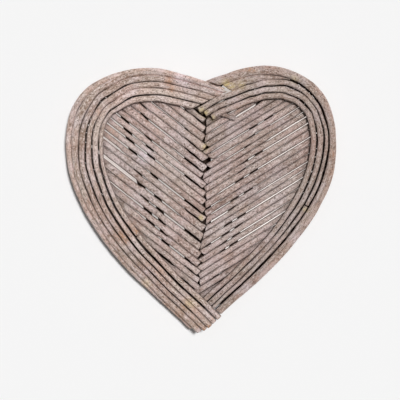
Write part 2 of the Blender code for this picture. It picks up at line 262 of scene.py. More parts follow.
# Stub of a rod that crosses the top of the right half, under the ends of the border rods
STUB = ((0.047, 0.326), (0.126, 0.299))
STUB_ROD = 4.6 * MM
STUB_FLATNESS = 0.8
STUB_POINTS = 40
STUB_DROP = (0.4 * MM, 1.6 * MM)
STUB_SHADE = (0.3, 0.3, 0)

# Splinters of the split end: the face that they stand in, in millimetres from the middle of the
# heart, and for each its share of the way down that face, how far it stands out and its thickness.
# The taper says how thin the tip is, and over what share of the length it fills out.
SPLIT_FACE = ((24.0, 127.5), (32.5, 120.2))
SPLINTERS = ((0.08, 1.2, 1.3), (0.33, 2.4, 1.1), (0.55, 1.0, 1.4), (0.80, 2.0, 1.0))
SPLINTER_ANGLE = 24
SPLINTER_ROOT = 5 * MM
SPLINTER_RISE = 1.2 * MM
SPLINTER_HEIGHT = 1.4
SPLINTER_TAPER = (0.15, 0.6)
SPLINTER_POINTS = 20
SPLINTER_SHADE = (0.5, 0.5, 0)

# Rings of a rod: distance apart, points in each, and the power that makes its section fuller
RING_STEP = 1.0 * MM
FEWEST_RINGS = 8
SIDES = 26
SQUARENESS = 0.82
ANGLES = np.arange(SIDES) * 2 * np.pi / SIDES + np.pi

# Sawn ends: rings as shares of the rim, from the middle out, their bulge and grain, the worn rim,
# and how far from the end a slanted cut leans the rings, and how steeply at most
END_RINGS = (0.02, 0.3, 0.6, 0.85)
END_BULGE = 0.15 * MM
END_GRAIN = 0.06 * MM
RIM = 0.5 * MM
RIM_WEAR = 0.10
CUT_EASE = 12 * MM
STEEPEST_CUT = 1.4

# Slow waves along a rod: shares of wavelength and size for their three sines, and for each use its
# wavelength and size
WAVE_LENGTHS = (1.0, 0.62, 0.37)
WAVE_SIZES = (0.55, 0.3, 0.15)
WAVE_SPREAD = (0.85, 1.15)
BORDER_BEND = (70 * MM, 0.2 * MM)
OUTER_BEND = (70 * MM, 0.2 * MM / 3)
BORDER_SWELL = (45 * MM, 0.12 * MM)
BORDER_RISE = (80 * MM, 0.35 * MM)
BORDER_THICKNESS = (60 * MM, 0.2 * MM)
FREE_END = 10 * MM
FIELD_BEND = (150 * MM, 0.3 * MM)
FIELD_RISE = (90 * MM, 0.25 * MM)
FIELD_THICKNESS = (70 * MM, 0.15 * MM)
FIELD_RISE_SPREAD = 0.15 * MM
BACK_SWELL = (80 * MM, 0.15 * MM)
BACK_CLEARANCE = 0.3 * MM

# Bark: number of waves, turns round the rod, wavelengths in millimetres and size, for dents, small
# dents and fibres, and how strong a wave is. The flanks are smoother.
BARK_RELIEF = 0.13 * MM
FIBRE_RELIEF = 0.05 * MM
BARK_WAVES = (
    (10, (0, 3), (14, 60), BARK_RELIEF),
    (12, (1, 5), (5, 16), BARK_RELIEF * 0.45),
    (14, (4, 11), (18, 70), FIBRE_RELIEF),
)
WAVE_STRENGTHS = (0.3, 1.0)
FLANK_SMOOTHING = 0.7

# Buds: most on a rod, spacing, sizes, length and its growth with the size, height, the swelling
# round a bud and how much flatter it dies away, and the least darkness of a scar
MOST_BUDS = 40
BUD_SPACING = (28 * MM, 60 * MM)
BUD_SIZES = (0.35, 1.0)
BUD_LENGTH = 2.2 * MM
BUD_GROWTH = (0.7, 0.5)
BUD_HEIGHT = 0.7 * MM
NODE_SWELL = 0.2 * MM
NODE_FLATNESS = 0.6
FAINTEST_SCAR = 0.5

# Field: how far its lines are followed from the seam, closed gaps, openings, splay under the border
# at these depths below the outline, and the least half width of a rod. The far end of a rod is
# looked for a few steps past its start.
FIELD_SPAN = (-6 * MM, 150 * MM)
CLOSED_GAP = 0.1 * MM
OPENING_EASE = 5 * MM
SPLAY = (0.0 * MM, 0.6 * MM)
SPLAY_DEPTHS = (24 * MM, 34 * MM)
THINNEST_HALF = 0.8 * MM
FIRST_STEPS = 8
FEWEST_STEPS = 12

# Ends at the seam: their gap, how ragged and slanted the left ones are, the slants tried for the
# right ones, in degrees, what a slant counts against the space that it saves, how many spots of an
# end are kept clear and in how many rounds. A rod heads from one of its steps to another.
SEAM_GAP = 0.25 * MM
SEAM_RAGGED = 0.8 * MM
SEAM_SLANT = 0.1
END_SLANTS = range(-45, 50, 5)
SLANT_COST = 0.15 * MM
END_SPOTS = 15
END_ROUNDS = 12
LEFT_HEADING = (10, 20)
RIGHT_HEADING = (0, 12)

# Painted shade on the flanks of a rod beside a gap: least and most, the gap that makes them fully
# dark, the angles from the top between which the band starts and ends, how far painted light fills
# it and below which darkness, and the least painted shade in the field
GROOVE = (0.05, 1.0)
OPEN_GROOVE = 0.45 * MM
GROOVE_ANGLES = (48, 68, 110, 130)
GROOVE_FILL_LIGHT = 0.7
FILL_LIGHT_BELOW = (0.05, 0.40)
FIELD_GROOVE = 0.55

# Painted shade: how dark the back is, and the field under and beside the border's inner edge
BACK_SHADE = 0.94
COVER_EDGE = (-5 * MM, -1 * MM)
COVER_SHADE = 0.85
SOFT_EDGE = (-1 * MM, 6 * MM)
SOFT_SHADE = 0.36
FLOOR_CLEARANCE = 0.05 * MM

# Each rod's own tone and warmth: spread from rod to rod, and slow wave along it
TONE_SPREAD = 0.35
TONE_WAVE = (90 * MM, 0.25)
WARMTH_SPREAD = 0.4
WARMTH_WAVE = (120 * MM, 0.4)
BARK_SHIFT = 40
SEED = 41

# Marks on the rods: across and up from the middle of the heart, radius, all in millimetres, and
# strength. Stains are orange-brown, raw wood is yellowish, and thick wash is lilac-white.
STAINS = [
    *((-87, -40, 5, 1.0), (-83, -46, 4, 0.8), (53, 143, 3, 1.0), (58, 142, 3, 0.7)),
    *((-72, -36, 5, 0.8), (-76, -28, 5, 0.5), (45, -12, 7, 0.35), (30, -65, 9, 0.3)),
    *((-36, 129, 5, 0.8), (-33, 121, 4, 0.8), (147, 50, 8, 0.5), (148, 30, 7, 0.4)),
    *((3, -145, 4, 1.0), (9, -142, 4, 1.0), (-25, -128, 6, 0.6), (-38, -118, 5, 0.5)),
    *((-7, -129, 8, 0.5), (-18, -113, 7, 0.45), (-4, -140, 5, 0.5), (13, -133, 4, 0.4)),
    *((18, 115, 5, 0.5), (-45, -80, 6, 0.4), (-99, 76, 7, 0.5), (-112, 95, 6, 0.4)),
    *((41, 98, 5, 0.5), (-20, -118, 5, 0.5), (-88, 26, 5, 0.4), (120, 115, 7, 0.3)),
]
RAW_WOOD = [
    *((28, 126, 5, 1.0), (34, 124, 4, 0.9), (44, 126, 4, 0.7), (0, 98, 4, 0.8)),
    *((4, 94, 4, 0.9), (13, 89, 3, 0.7), (4, 57, 4, 0.8), (0, -21, 3, 0.9)),
    *((103, 131, 4, 0.6), (-12, -115, 6, 0.5), (-60, -93, 5, 0.4), (115, -12, 2.5, 1.0)),
]
THICK_WASH = [
    *((-64, 48, 11, 1.0), (-23, 134, 8, 0.9), (-17, 128, 7, 0.8), (20, 119, 7, 0.7)),
    *((105, -43, 8, 0.7), (51, -99, 8, 0.7), (-2, -146, 4, 0.8), (100, -20, 9, 0.5)),
    *((-95, 40, 9, 0.5), (60, 95, 9, 0.4), (85, 30, 12, 0.4), (-75, -52, 8, 0.5)),
]

# Finish of each group of rods: bark, grey wash and brownish areas as colours, and roughness
FINISHES = {
    "border_willow": ((0.20, 0.135, 0.10, 1), (0.52, 0.43, 0.38, 1), (0.40, 0.29, 0.24, 1), 0.75),
    "field_willow": ((0.22, 0.15, 0.12, 1), (0.56, 0.465, 0.42, 1), (0.44, 0.33, 0.285, 1), 0.75),
    # The back's colours are darker than the other rods': painted shade, as little light reaches it
    "back_willow": ((0.16, 0.10, 0.07, 1), (0.36, 0.28, 0.23, 1), (0.30, 0.20, 0.15, 1), 0.8),
}

# Tint of the pinkish areas, by which the colours there are multiplied, what lies on the wash,
# and the near-black of painted shade
PINK_TINT = (1.03, 0.95, 0.955, 1)
THICK_WASH_COLOUR = (0.64, 0.555, 0.585, 1)
STAIN_COLOUR = (0.38, 0.18, 0.08, 1)
RAW_WOOD_COLOUR = (0.58, 0.46, 0.20, 1)
SAWN_COLOUR = (0.42, 0.30, 0.17, 1)
BUD_COLOUR = (0.13, 0.085, 0.06, 1)
CRUMB_COLOUR = (0.66, 0.58, 0.54, 1)
PIT_COLOUR = (0.10, 0.065, 0.05, 1)
PAINTED_SHADE_COLOUR = (0.022, 0.013, 0.009, 1)
SHINE = 0.22

# Brightness by which the whole colour is multiplied: for each group of rods, and around places
# on it, in the way of the marks
BRIGHT = {"border_left": 1.45, "border_right": 1.16, "field_left": 1.27, "field_right": 1.22}
BRIGHT_PLACES = [
    *((-60, 118, 45, 0.14), (70, 120, 40, 0.12), (90, -60, 40, 0.07), (-75, -70, 30, -0.04)),
    *((8, -138, 14, -0.03), (-135, 55, 30, 0.05)),
]

# Camera straight above the heart, and its light
VIEW_CENTRE = (-1.3 * MM, -1.3 * MM)
VIEW_WIDTH = 442.2 * MM
LENS = 100
SENSOR = 36
SUN_TILT = 16
SUN_TURN = 133
SUN_STRENGTH = 2.75
SUN_SPREAD = 9
SKY_STRENGTH = 0.16

# Floor, and the sheets that show through the gaps: a black one of painted shadow, and glowing ones,
# painted light that stands in for the lit floor seen through the gaps. The glowing ones have shares
# of the way along each side, and how far in from the outline they start there in millimetres. They
# leave a slit down the middle. The spot at the notch has its middle and radius in millimetres.
FLOOR_SIZE = 4.0
FLOOR_COLOUR = (0.915, 0.915, 0.915)
SHEET_STEPS = 80
PAPER_LEFT = ((0.05, 0.30, 0.56, 0.68, 0.84), (24, 16, 16, 30, 44))
PAPER_RIGHT = ((0.08, 0.24, 0.28, 0.42, 0.47, 0.76, 0.93), (26, 20, 9, 9, 18, 26, 34))
SHADOW_SHARES = ((0.05, 0.94), (0.12, 0.96))
SHADOW_INSET = 5 * MM
SHADOW_COLOUR = (0.02, 0.013, 0.01)
PAPER_SLIT = (-14 * MM, 11 * MM)
NOTCH_PAPER = ((28.6, 120.7), 8.0)
NOTCH_CORNERS = 12
PAPER_LEVEL = 0.2 * MM
PAPER_COLOUR = (0.80, 0.76, 0.73)
PAPER_GLOW = 0.65


def placed(shares):
    """Points given as shares of the width and height, in metres."""
    return np.array(shares) * (WIDTH, HEIGHT)


def unit(vectors):
    """The same directions, each divided by its length."""
    return vectors / np.linalg.norm(vectors, axis=-1, keepdims=True)


def ease(values, low, high):
    """0 below low, 1 above high, and the cubic 3u^2 - 2u^3 of the share u of the way between."""
    u = np.clip((values - low) / (high - low), 0, 1)
    return u * u * (3 - 2 * u)


def smooth_curve(points):
    """Cubic through the points, with the slope at each taken from its neighbours, evenly spaced."""
    knots = np.r_[0, np.cumsum(np.linalg.norm(np.diff(points, axis=0), axis=1))]
    slopes = np.gradient(points, knots, axis=0)
    at = np.linspace(0, knots[-1], CURVE_POINTS)
    k = np.clip(np.searchsorted(knots, at, side="right") - 1, 0, len(knots) - 2)
    step = (knots[k + 1] - knots[k])[:, None]
    u = (at - knots[k])[:, None] / step
    curve = (
        (2 * u**3 - 3 * u**2 + 1) * points[k]
        + (u**3 - 2 * u**2 + u) * step * slopes[k]
        + (3 * u**2 - 2 * u**3) * points[k + 1]
        + (u**3 - u**2) * step * slopes[k + 1]
    )
    return even_steps(curve, CURVE_POINTS)


def lengths_along(curve):
    """Length from the start to each point, as the sum of the steps between."""
    return np.r_[0, np.cumsum(np.linalg.norm(np.diff(curve, axis=0), axis=1))]


def even_steps(curve, count):
    """The same curve at evenly spaced places."""
    length = lengths_along(curve)
    even = np.linspace(0, length[-1], count)
    return np.stack([np.interp(even, length, curve[:, axis]) for axis in (0, 1)], 1)


def along(curve, shares):
    """Points and left-hand normals of a curve at shares of its length.

    Before its start, where the shares are negative, the curve goes on straight.
    """
    at = np.atleast_1d(shares) * (len(curve) - 1)
    index = np.arange(len(curve))
    slopes = np.gradient(curve, axis=0)
    points = np.stack([np.interp(at, index, curve[:, axis]) for axis in (0, 1)], 1)
    points += np.minimum(at, 0)[:, None] * slopes[0]
    heading = unit(np.stack([np.interp(at, index, slopes[:, axis]) for axis in (0, 1)], 1))
    return points, np.stack([-heading[:, 1], heading[:, 0]], 1)


def smooth_steps(shares, stations, values):
    """Values at the stations, eased from each one to the next."""
    stations = np.array(stations)
    values = np.array(values)
    k = np.clip(np.searchsorted(stations, shares, side="right") - 1, 0, len(stations) - 2)
    u = ease(shares, stations[k], stations[k + 1])
    return values[k] * (1 - u) + values[k + 1] * u


def slow_wave(lengths, reach, size, rng):
    """Sum of three sines of random phase, of wavelengths about the reach, with the given size."""
    wavelengths = reach * np.array(WAVE_LENGTHS) * rng.uniform(*WAVE_SPREAD, len(WAVE_LENGTHS))
    phases = rng.uniform(0, 2 * np.pi, len(WAVE_LENGTHS))
    turns = 2 * np.pi * lengths[:, None] / wavelengths + phases
    return size * (np.sin(turns) * np.array(WAVE_SIZES)).sum(1)


class Side:
    """One side of the border: its outline, and which way is inwards."""

    def __init__(self, outline, stations, edges, gaps, inward):
        self.curve = smooth_curve(placed(outline))
        self.length = lengths_along(self.curve)[-1]
        self.stations = stations
        self.edges = np.array(edges) * MM
        self.gaps = np.array(gaps) * MM
        self.inward = inward

    def at(self, shares, table, rod):
        """What a table of the side says of a rod, eased between the stations."""
        return smooth_steps(shares, self.stations, table[:, rod - 1])

    def inset(self, shares, depth):
        """Points along the side, moved inwards from its outline by the depth."""
        points, normal = along(self.curve, shares)
        return points + normal * self.inward * np.broadcast_to(depth, len(shares))[:, None]

    def centre(self, rod, shares):
        """Middle line of a rod and half its width, midway between its gaps at both edges."""
        if rod == 1:
            half = np.full(len(shares), OUTER_ROD / 2)
            return self.inset(shares, half), half
        outer = self.at(shares, self.edges + self.gaps / 2, rod - 1)
        inner = self.at(shares, self.edges - self.gaps / 2, rod)
        return self.inset(shares, (outer + inner) / 2), (inner - outer) / 2

    def edge_line(self, rod, shares, outer):
        """Straight line that clears one edge of a rod: a point, and the direction away from it."""
        shares = np.linspace(*shares, STRETCH_POINTS)
        points, normal = along(self.curve, shares)
        away = normal * self.inward * (-1 if outer else 1)
        if rod:
            points, half = self.centre(rod, shares)
            points = points + away * half[:, None]
        run = unit(points[-1] - points[0])
        across = np.array([-run[1], run[0]])
        across *= np.sign(across @ away.mean(0))
        return points[np.argmax((points - points[0]) @ across)], across


def stop_at(side, rod, line, reach):
    """Share of the way along a side where a rod, followed from a place that it keeps, meets a line."""
    shares = np.linspace(*reach, CURVE_POINTS)
    ahead = (side.centre(rod, shares)[0] - line[0]) @ line[1]
    return float(shares[np.argmin(np.abs(ahead - END_GAP))])


def bark_relief(lengths, half, rng):
    """Height of the bark above an even rod, on rings at the lengths, and the scars of its buds.

    A sum of waves: each has a whole number of turns round the rod, so that it closes, and a
    wavelength along it. Few turns and middling wavelengths give dents, many turns and long
    wavelengths give fibres. Buds are bumps that die away as exp(-d^2), each on a slight swelling.
    """
    rings = lengths[:, None]
    relief = np.zeros((len(lengths), SIDES))
    for count, turns, waves, size in BARK_WAVES:
        for _ in range(count):
            whole = rng.integers(turns[0], turns[1] + 1)
            wavelength = rng.uniform(*waves) * MM
            phase = rng.uniform(0, 2 * np.pi)
            wave = np.cos(2 * np.pi * rings / wavelength + whole * ANGLES + phase)
            relief += wave * size * rng.uniform(*WAVE_STRENGTHS) / np.sqrt(count / 3)
    buds = np.cumsum(rng.uniform(*BUD_SPACING, MOST_BUDS)) - BUD_SPACING[0] / 2
    turned = rng.uniform(-np.pi, np.pi, MOST_BUDS)
    sizes = rng.uniform(*BUD_SIZES, MOST_BUDS)
    scar = np.zeros_like(relief)
    for place, angle, size in zip(buds[buds < lengths[-1]], turned, sizes):
        ahead = (rings - place) / (BUD_LENGTH * (BUD_GROWTH[0] + BUD_GROWTH[1] * size))
        round_by = (np.mod(ANGLES - angle + np.pi, 2 * np.pi) - np.pi) * half.mean() / BUD_LENGTH
        bump = np.exp(-(ahead**2) - round_by**2)
        swell = np.exp(-(ahead**2) * NODE_FLATNESS)
        relief += bump * BUD_HEIGHT * size + swell * NODE_SWELL * size
        scar = np.maximum(scar, bump * (FAINTEST_SCAR + (1 - FAINTEST_SCAR) * size))
    return relief, scar


def marks_at(places, marks):
    """How strongly each place is marked: strength times exp(-(d / radius)^2), the strongest mark."""
    strength = np.zeros(len(places))
    for across, up, radius, size in marks:
        offset = (places[:, :2] - np.array([across, up]) * MM) / (radius * MM)
        mark = size * np.exp(-(offset**2).sum(1))
        strength = np.where(np.abs(mark) > np.abs(strength), mark, strength)
    return strength


def groove(gap):
    """Painted shade of a flank beside a gap: faint where the bark touches, black where it stands open.
    """
    return GROOVE[0] + (GROOVE[1] - GROOVE[0]) * ease(gap, 0, OPEN_GROOVE)


def rod_body(centre, heading, half, height, level, cuts, rng):
    """Rings of a rod between its ends, as a grid of points, and the scars of its buds.

    A point at length s and angle a from the top lies at
        middle(s) + side * half(s) * sin(a)^q + up * height(s) * cos(a)^q,
    with q a little under 1 for a fuller section, pushed out by the relief of the bark. Near an end
    the rod narrows to its worn rim, and the rings lean over until the last one lies in the plane of
    the cut.
    """
    lengths = lengths_along(centre)
    relief, scar = bark_relief(lengths, half, rng)
    ends = ease(lengths, 0, RIM * 2) * ease(lengths[-1] - lengths, 0, RIM * 2)
    relief *= ends[:, None] * (1 - FLANK_SMOOTHING * np.sin(ANGLES) ** 4)
    shrink = 1 - RIM_WEAR * (1 - ends)
    side = np.stack([-heading[:, 1], heading[:, 0]], 1)
    wide = -np.sign(np.sin(ANGLES)) * np.abs(np.sin(ANGLES)) ** SQUARENESS
    tall = np.sign(np.cos(ANGLES)) * np.abs(np.cos(ANGLES)) ** SQUARENESS
    across = (half * shrink)[:, None] * wide + relief * -np.sin(ANGLES)
    up = (height * shrink)[:, None] * tall + relief * np.cos(ANGLES)
    slide = np.zeros_like(across)
    for end, cut in zip((0, -1), cuts):
        if cut is not None:
            near = 1 - ease(np.abs(lengths - lengths[end]), 0, CUT_EASE)
            lean = (side[end] @ cut) / (heading[end] @ cut)
            slide -= across * near[:, None] * np.clip(lean, -STEEPEST_CUT, STEEPEST_CUT)
    flat = centre[:, None] + across[..., None] * side[:, None] + slide[..., None] * heading[:, None]
    return np.dstack([flat, np.maximum(level[:, None] + up, FLOOR_CLEARANCE)]), scar


def sawn_end(rim, outwards, shares, rng):
    """Rings of a sawn end: shares of the rim round its middle, pushed outwards by bulge and grain."""
    hub = rim.mean(0)
    grain = rng.normal(0, END_GRAIN, (len(shares), SIDES))
    share = np.array(shares)[:, None]
    bulge = np.r_[outwards, 0] * (grain + END_BULGE)[..., None]
    return hub + (rim - hub) * share[..., None] + bulge * share[..., None]


def closed_mesh(name, rings):
    """Mesh of rings in a row, with four-sided walls from each to the next and a face at each end."""
    total = len(rings)
    first = np.arange((total - 1) * SIDES).reshape(total - 1, SIDES)
    turned = np.roll(first, -1, axis=1)
    walls = np.stack([first, turned, turned + SIDES, first + SIDES], 2).reshape(-1, 4)
    closing = [list(range(SIDES))[::-1], list(range((total - 1) * SIDES, total * SIDES))]
    mesh = bpy.data.meshes.new(name)
    mesh.from_pydata(rings.reshape(-1, 3).tolist(), [], walls.tolist() + closing)
    mesh.shade_smooth()
    return mesh


def darkness(shade):
    """Painted shade at each point of the rings, and painted light that lifts the edge there.

    Each flank is painted dark in a band between the groove angles, by its own share of the shade, and
    the whole upper face by the third share. Painted light fills the band where the flank is hardly
    dark.
    """
    from_top = np.abs(np.mod(ANGLES + np.pi, 2 * np.pi) - np.pi)
    upper = 1 - ease(from_top, *np.radians(GROOVE_ANGLES[2:]))
    band = ease(from_top, *np.radians(GROOVE_ANGLES[:2])) * upper
    flank = np.where(np.sin(ANGLES) < 0, shade[0][:, None], shade[1][:, None])
    shelter = np.maximum(band * flank, upper * shade[2][:, None])
    return shelter, GROOVE_FILL_LIGHT * band * (1 - ease(flank, *FILL_LIGHT_BELOW))


def write_marks(mesh, rings, lengths, scar, shade, rng):
    """What the finish reads at each point of a rod.

    The rod's own space has the length along it, moved by a random start, and its round section, so
    that the bark's streaks follow the rod. The rest are the tone and warmth of the rod, the painted
    shade of the gaps, sawn ends, buds, marks and brightness, with painted light on nearly closed
    grooves.
    """
    capped = len(END_RINGS)
    ends = ((capped, capped), (0, 0))
    start = rng.uniform(0, BARK_SHIFT)
    ring_lengths = np.pad(lengths, capped, mode="edge")
    reach = np.r_[END_RINGS, np.ones(len(lengths)), END_RINGS[::-1]][:, None]
    rod_space = np.dstack(
        [
            np.broadcast_to(ring_lengths[:, None] + start, rings.shape[:2]),
            reach * np.sin(ANGLES) * BORDER_ROD / 2,
            reach * np.cos(ANGLES) * BORDER_ROD / 2,
        ]
    )
    write_attribute(mesh, "rod_space", rod_space, "FLOAT_VECTOR", "vector")
    tone = rng.normal(0, TONE_SPREAD) + slow_wave(ring_lengths, *TONE_WAVE, rng)
    warmth = rng.normal(0, WARMTH_SPREAD) + slow_wave(ring_lengths, *WARMTH_WAVE, rng)
    # Painted shade of the grooves and covered faces, and painted light (filled) on nearly closed
    # grooves
    shelter, filled = (np.pad(one, ends, mode="edge") for one in darkness(shade))
    places = rings.reshape(-1, 3)
    bright = group_brightness(mesh.name) + marks_at(places, BRIGHT_PLACES) + filled.ravel()
    for title, values in (
        ("tone", np.repeat(tone, SIDES)),
        ("warmth", np.repeat(warmth, SIDES)),
        ("shelter", shelter),
        ("cut_end", np.pad(np.zeros_like(scar), ends, constant_values=1)),
        ("bud", np.pad(scar, ends)),
        ("stain", marks_at(places, STAINS)),
        ("raw_wood", marks_at(places, RAW_WOOD)),
        ("thick_wash", marks_at(places, THICK_WASH)),
        ("bright", bright),
    ):
        write_attribute(mesh, title, values, "FLOAT", "value")


def rod_piece(
    name, centre, half, height, level, finish, nodes, rng, cuts=(None, None), shade=(0, 0, 0)
):
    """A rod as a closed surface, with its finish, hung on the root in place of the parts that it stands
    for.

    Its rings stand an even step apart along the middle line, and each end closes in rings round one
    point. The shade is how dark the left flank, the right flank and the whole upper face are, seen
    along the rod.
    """
    source = lengths_along(centre)
    count = max(FEWEST_RINGS, round(source[-1] / RING_STEP))
    even = np.linspace(0, source[-1], count)
    half, height, level, *shade = (
        np.interp(even, source, np.broadcast_to(values, len(source)))
        for values in (half, height, level, *shade)
    )
    centre = even_steps(centre, count)
    heading = unit(np.gradient(centre, axis=0))
    body, scar = rod_body(centre, heading, half, height, level, cuts, rng)
    first_end = sawn_end(body[0], -heading[0], END_RINGS, rng)
    last_end = sawn_end(body[-1], heading[-1], END_RINGS[::-1], rng)
    rings = np.concatenate([first_end, body, last_end])
    mesh = closed_mesh(name, rings)
    write_marks(mesh, rings, lengths_along(centre), scar, shade, rng)
    piece = linked_piece(mesh, finish)
    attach(piece, "root")
    if nodes:
        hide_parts(*nodes)


def linked_piece(mesh, finish):
    """The mesh as an object of its own name in the scene, with its finish."""
    mesh.materials.append(finish)
    piece = bpy.data.objects.new(mesh.name, mesh)
    bpy.context.scene.collection.objects.link(piece)
    return piece


def group_brightness(name):
    """Brightness of the group that a piece's name holds, or 1."""
    return next((level for group, level in BRIGHT.items() if group in name), 1.0)


def write_attribute(mesh, name, values, kind, field):
    """Values for the points of a mesh, in their order."""
    attribute = mesh.attributes.new(name, kind, "POINT")
    attribute.data.foreach_set(field, np.asarray(values, np.float32).ravel())


def border_rod(node, side, rod, start, end, finish, rng, cuts=(None, None)):
    """One border rod between two shares of the way along its side, with slight bends and heaves.

    The outermost rod lies a layer lower than the others, and is lifted where it shows.
    """
    shares = np.linspace(start, end, round((end - start) * side.length / RING_STEP))
    centre, half = side.centre(rod, shares)
    lengths = lengths_along(centre)
    normal = along(side.curve, shares)[1]
    free = ease(lengths, 0, FREE_END) * ease(lengths[-1] - lengths, 0, FREE_END)
    bend = slow_wave(lengths, *(BORDER_BEND if rod > 2 else OUTER_BEND), rng) * free
    centre = centre + normal * bend[:, None]
    half = half - np.abs(bend) * 0.5 + slow_wave(lengths, *BORDER_SWELL, rng)
    level = (FIELD_LEVEL if rod == 1 else BORDER_LEVEL) + slow_wave(lengths, *BORDER_RISE, rng)
    inner = groove(side.at(shares, side.gaps, rod))
    if rod == 1:
        wide = ease(side.at(shares, side.edges, rod), *OUTER_STRIP)
        level = level + OUTER_LIFT[0] + (OUTER_LIFT[1] - OUTER_LIFT[0]) * wide
        outer = np.zeros(len(shares))
    else:
        outer = groove(side.at(shares, side.gaps, rod - 1))
    height = (OUTER_ROD if rod == 1 else BORDER_ROD) / 2 + slow_wave(lengths, *BORDER_THICKNESS, rng)
    shade = (inner, outer, 0) if side.inward > 0 else (outer, inner, 0)
    name = f"willow_{node}"
    rod_piece(name, centre, half, height, level, finish, [node], rng, cuts, shade)


def border(left, right, finish, rng):
    """Six rods to a side. The left ones pass the notch and the point, and stop the right ones.

    A rod ends where its middle line meets the line along the edge of the rod that stops it.
    """
    fourth_edge = right.edge_line(4, FOURTH_STRETCH, outer=True)
    notch_edge = left.edge_line(0, NOTCH_STRETCH, outer=True)
    sixth_edge = left.edge_line(6, TAIL_STRETCH, outer=False)

    cuts = (fourth_edge[1], None)
    starts = [stop_at(left, rod, fourth_edge, LEFT_START_REACH) for rod in range(1, 7)]
    starts[0] = max(starts[0], 0)
    gap = JOINT_GAP / 2 / left.length
    for rod, start, end in zip(range(1, 6), starts, LEFT_TAIL_ENDS):
        border_rod(f"border_left_{rod}", left, rod, start, end, finish, rng, cuts)
    border_rod("border_left_6_upper", left, 6, starts[5], LEFT_SIXTH_JOINT - gap, finish, rng, cuts)
    border_rod("border_left_6_lower", left, 6, LEFT_SIXTH_JOINT + gap, LEFT_TAIL_ENDS[5], finish, rng)

    cuts = (notch_edge[1], sixth_edge[1])
    ends = {rod: stop_at(right, rod, sixth_edge, RIGHT_END_REACH) for rod in (1, 2, 4, 5, 6)}
    gap = JOINT_GAP / 2 / right.length
    for rod in (1, 2):
        start = stop_at(right, rod, notch_edge, RIGHT_START_REACH)
        border_rod(f"border_right_{rod}", right, rod, start, ends[rod], finish, rng, cuts)
    cuts = (np.array(SPLIT_END_CUT), None)
    split = (RIGHT_THIRD_START, RIGHT_THIRD_END)
    border_rod("border_right_3_short", right, 3, *split, finish, rng, cuts)
    cuts = (None, sixth_edge[1])
    upper = (RIGHT_INNER_STARTS[4], RIGHT_FOURTH_JOINT - gap)
    border_rod("border_right_4_upper", right, 4, *upper, finish, rng)
    border_rod("border_right_4_lower", right, 4, RIGHT_FOURTH_JOINT + gap, ends[4], finish, rng, cuts)
    for rod in (5, 6):
        start = RIGHT_INNER_STARTS[rod]
        border_rod(f"border_right_{rod}", right, rod, start, ends[rod], finish, rng, cuts)


def depth_below(outlines, points):
    """Distance of each point from the nearest point of the outlines, which are thinned out."""
    thinned = [curve[None, ::DEPTH_THINNING] for curve in outlines]
    apart = [np.linalg.norm(points[:, None] - curve, axis=2).min(1) for curve in thinned]
    return np.min(apart, axis=0)


def cover(sides, points):
    """Painted shade on the field: dark under the border, and less so a little way out from its edge."""
    covered = np.zeros(len(points))
    for side in sides:
        apart = np.linalg.norm(points[:, None] - side.curve[None], axis=2)
        nearest = apart.argmin(1)
        shares = nearest / (len(side.curve) - 1)
        outline, normal = along(side.curve, shares)
        inside = ((points - outline) * normal).sum(1) * side.inward > 0
        depth = apart.min(1) - side.at(shares, side.edges, 6)
        under = COVER_SHADE * (1 - ease(depth, *COVER_EDGE))
        soft = SOFT_SHADE * (1 - ease(depth, *SOFT_EDGE))
        covered = np.maximum(covered, np.where(inside & (nearest > 0), np.maximum(under, soft), 0))
    return covered


def field_lines(plan):
    """Lines between the rods of one half, from the top: height at the middle of the heart, slope."""
    above, below = (share * HEIGHT for share in plan["reach"])
    widths = np.array(plan["widths"]) * MM
    widths *= (above + below) / widths.sum()
    top = TOP_PITCH * np.arange(-plan["top_rods"], 0)
    single = np.r_[0, np.cumsum(widths)]
    bottom = above + below + BOTTOM_PITCH * np.arange(1, plan["bottom_rods"] + 1)
    edges = np.r_[top, single, bottom]
    slopes = np.interp(edges, (0, above + below), plan["slopes"])
    angles = np.radians(slopes)
    point = placed(plan["point"])
    down = above - edges
    x0 = point[0] - np.sin(angles) * down
    y0 = point[1] + np.cos(angles) * down
    return y0 - x0 * np.tan(angles), np.tan(angles)


def end_corners(point, heading, half, cut):
    """Upper and lower corner of a rod's end, where a cut across it meets its two edges."""
    side = np.array([-heading[1], heading[0]])
    face = np.array([-cut[1], cut[0]])
    reach = face * half / (face @ side)
    return (point + reach, point - reach) if reach[1] > 0 else (point - reach, point + reach)


def left_start(x, line, half, seam, corners, rng):
    """Start and cut of a left rod, nearly square and a little ragged where it crosses the seam.

    The corners of its end are added to those that the right rods keep clear of.
    """
    heading = unit(line[LEFT_HEADING[1]] - line[LEFT_HEADING[0]])
    past_seam = x - np.interp(-line[:, 1], -seam[:, 1], seam[:, 0])
    start_x = np.interp(0, past_seam[::-1], x[::-1]) + rng.normal(0, SEAM_RAGGED)
    cut = unit(heading + rng.normal(0, SEAM_SLANT, 2))
    start = np.array([start_x, np.interp(start_x, x[::-1], line[::-1, 1])])
    corners += end_corners(start, heading, np.interp(start_x, x[::-1], half[::-1]), cut)
    return start, cut


def right_start(line, half, corners):
    """Start and cut of a right rod that leave the least space beside the ends of the left rods.

    The left ends form a sawtooth line through their corners. For each slant of the cut, the rod is
    pushed back until every point of its end is clear of that line by the gap of the seam.
    """
    heading = unit(line[RIGHT_HEADING[1]] - line[RIGHT_HEADING[0]])
    side = np.array([-heading[1], heading[0]])
    teeth = np.array(sorted(corners, key=lambda corner: corner[1]))
    best = None
    for slant in np.radians(END_SLANTS):
        face = side * np.cos(slant) + heading * np.sin(slant)
        spots = face * np.linspace(-1, 1, END_SPOTS)[:, None] * half / np.cos(slant)
        start = line[0].copy()
        for _ in range(END_ROUNDS):
            at = start + spots
            short = np.interp(at[:, 1], teeth[:, 1], teeth[:, 0]) + SEAM_GAP - at[:, 0]
            start = start + heading * short.max() / heading[0]
        space = -short.mean() + SLANT_COST * abs(slant)
        if best is None or space < best[0]:
            best = (space, start, np.array([face[1], -face[0]]))
    return best[1], best[2]


